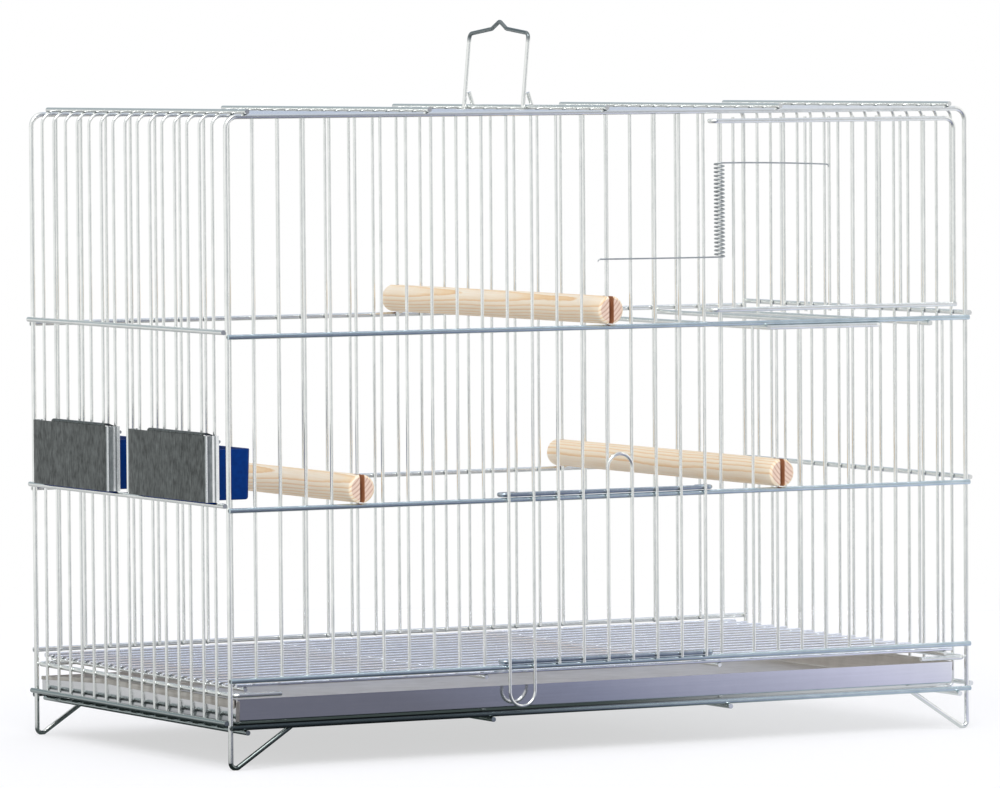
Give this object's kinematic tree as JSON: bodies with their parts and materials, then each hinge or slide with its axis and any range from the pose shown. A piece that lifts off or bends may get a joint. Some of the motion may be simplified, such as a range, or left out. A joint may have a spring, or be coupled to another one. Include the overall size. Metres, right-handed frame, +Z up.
{
  "type": "canary breeding cage",
  "caption": "Free-standing wire breeding cage with a lift-up door, sprung nest door, folding handle, hooked-on feeders, slotted perches, wire floor grate and slide-out tray.",
  "frame": {"origin": "on the ground under the middle of the whole outline", "axes": "+X along the front from the feeders' side to the nest door's side, +Y from the front to the back, +Z up"},
  "size_m": [0.4936, 0.269, 0.4159],
  "materials": {
    "frame_wire": "drawn steel wire, bright zinc plate",
    "bar_wire": "thin drawn steel wire, bright zinc plate",
    "spring_wire": "spring steel wire, zinc plate",
    "tray_sheet": "folded zinc-plated sheet steel, satin",
    "galvanised_sheet": "folded galvanised sheet steel, grey with a spangle",
    "perch_pine": "turned raw pine",
    "tub_plastic": "moulded blue polystyrene, glossy"
  },
  "bodies": {
    "cage": {"front_left_post": "frame_wire", "front_right_post": "frame_wire", "rear_left_post": "frame_wire", "rear_right_post": "frame_wire", "front_left_foot": "frame_wire", "front_right_foot": "frame_wire", "rear_left_foot": "frame_wire", "rear_right_foot": "frame_wire", "front_top_wire": "frame_wire", "rear_top_wire": "frame_wire", "top_corner_bends": "frame_wire", "left_side_bars": "bar_wire", "right_side_bars": "bar_wire", "roof_bars": "bar_wire", "floor_bars": "bar_wire", "hoop_shoulders": "bar_wire", "hoop_floor_bends": "bar_wire", "roof_cross_wires": "frame_wire", "floor_cross_wires": "frame_wire", "left_side_rails": "frame_wire", "right_side_rails": "frame_wire", "front_rails": "frame_wire", "rear_rails": "frame_wire", "front_left_bars": "bar_wire", "front_middle_bars": "bar_wire", "front_right_bars": "bar_wire", "door_guide_bars": "bar_wire", "hinge_bar": "bar_wire", "rear_bars": "bar_wire", "left_grate_guide": "frame_wire", "right_grate_guide": "frame_wire", "nest_rest_wires": "frame_wire", "feeder_headers": "bar_wire"},
    "sliding_door": {"sliding_door_rails": "frame_wire", "sliding_door_eyes": "frame_wire", "sliding_door_bars": "bar_wire", "lift_hairpin": "frame_wire", "lock_hairpin": "frame_wire"},
    "nest_door": {"nest_door_frame": "frame_wire", "nest_door_sill": "frame_wire", "nest_door_eyes": "frame_wire", "nest_door_bars": "bar_wire", "door_spring": "spring_wire"},
    "handle": {"carrying_handle": "frame_wire"},
    "tray": {"droppings_tray": "tray_sheet"},
    "grate": {"grate_long_wires": "bar_wire", "grate_cross_wires": "bar_wire"},
    "upper_perch": {"upper_perch": "perch_pine"},
    "left_perch": {"left_perch": "perch_pine"},
    "right_perch": {"right_perch": "perch_pine"},
    "front_feeder": {"front_feeder_plate": "galvanised_sheet", "front_feeder_tub": "tub_plastic"},
    "rear_feeder": {"rear_feeder_plate": "galvanised_sheet", "rear_feeder_tub": "tub_plastic"}
  },
  "joints": [
    {"name": "sliding_door_lift", "type": "slide", "parent": "cage", "child": "sliding_door", "axis": [0, 0, 1], "range_m": [0, 0.07]},
    {"name": "nest_door_swing", "type": "hinge", "parent": "cage", "child": "nest_door", "pos_m": [0.07723, -0.12845, 0.3], "axis": [0, 0, -1], "range_deg": [0, 110], "stiffness_Nm_per_rad": 0.015, "springref_deg": -28.65, "deforming": ["door_spring"]},
    {"name": "handle_fold", "type": "hinge", "parent": "cage", "child": "handle", "pos_m": [0.00272, 0, 0.3652], "axis": [0, 1, 0], "range_deg": [-90, 87]},
    {"name": "tray_slide", "type": "slide", "parent": "cage", "child": "tray", "axis": [0, 1, 0], "range_m": [0, 0.22]},
    {"name": "grate_slide", "type": "slide", "parent": "cage", "child": "grate", "axis": [0, 1, 0], "range_m": [0, 0.22]},
    {"name": "upper_perch_lift", "type": "slide", "parent": "cage", "child": "upper_perch", "axis": [0, 0, 1], "range_m": [0, 0.09]},
    {"name": "left_perch_lift", "type": "slide", "parent": "cage", "child": "left_perch", "axis": [0, 0, 1], "range_m": [0, 0.07]},
    {"name": "right_perch_lift", "type": "slide", "parent": "cage", "child": "right_perch", "axis": [0, 0, 1], "range_m": [0, 0.07]},
    {"name": "front_feeder_pull", "type": "slide", "parent": "cage", "child": "front_feeder", "axis": [-1, 0, 0], "range_m": [0, 0.045]},
    {"name": "rear_feeder_pull", "type": "slide", "parent": "cage", "child": "rear_feeder", "axis": [-1, 0, 0], "range_m": [0, 0.045]}
  ]
}
